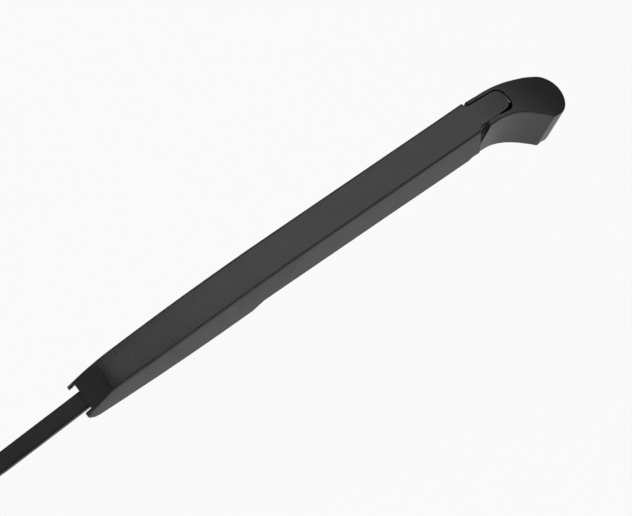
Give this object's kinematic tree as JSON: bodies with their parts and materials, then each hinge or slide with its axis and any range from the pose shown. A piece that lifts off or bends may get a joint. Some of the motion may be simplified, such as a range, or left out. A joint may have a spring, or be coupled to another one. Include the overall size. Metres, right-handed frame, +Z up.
{
  "type": "rear wiper arm",
  "caption": "Rear wiper arm: moulded channel hinged in a crowned dog-leg head, with a tension spring and a flat steel rod ending in a hook.",
  "frame": {"origin": "on the spindle axis, where the spindle's taper ends and the stud hole begins", "axes": "+Z up the spindle axis, away from the car; +X along the arm's plan, from the spindle towards the rod's hook; +Y completes the right hand, towards the hollow side of the head"},
  "size_m": [0.3922, 0.0413, 0.1683],
  "materials": {
    "arm_plastic": "fine moulded grain, black",
    "cover_plastic": "smooth satin, black",
    "painted_steel": "satin black paint",
    "plated_steel": "zinc plated",
    "die_cast": "as cast",
    "bush_plastic": "natural acetal",
    "spring_steel": "oiled spring wire"
  },
  "bodies": {
    "head": {"head_cover": "cover_plastic", "pivot_casting": "die_cast", "hinge_bush": "bush_plastic", "head_spring_pin": "plated_steel"},
    "arm": {"arm_housing": "arm_plastic", "wiper_rod": "painted_steel", "rod_screws": "plated_steel", "hinge_pin": "plated_steel", "arm_spring_pin": "plated_steel", "tension_spring": "spring_steel"}
  },
  "joints": [
    {"name": "arm_lift", "type": "hinge", "parent": "head", "child": "arm", "pos_m": [0.03032, -0.0105, 0.00315], "axis": [0, -1, 0], "range_deg": [0, 60], "stiffness_Nm_per_rad": 0.6, "springref_deg": -143.24, "deforming": ["tension_spring"]}
  ]
}
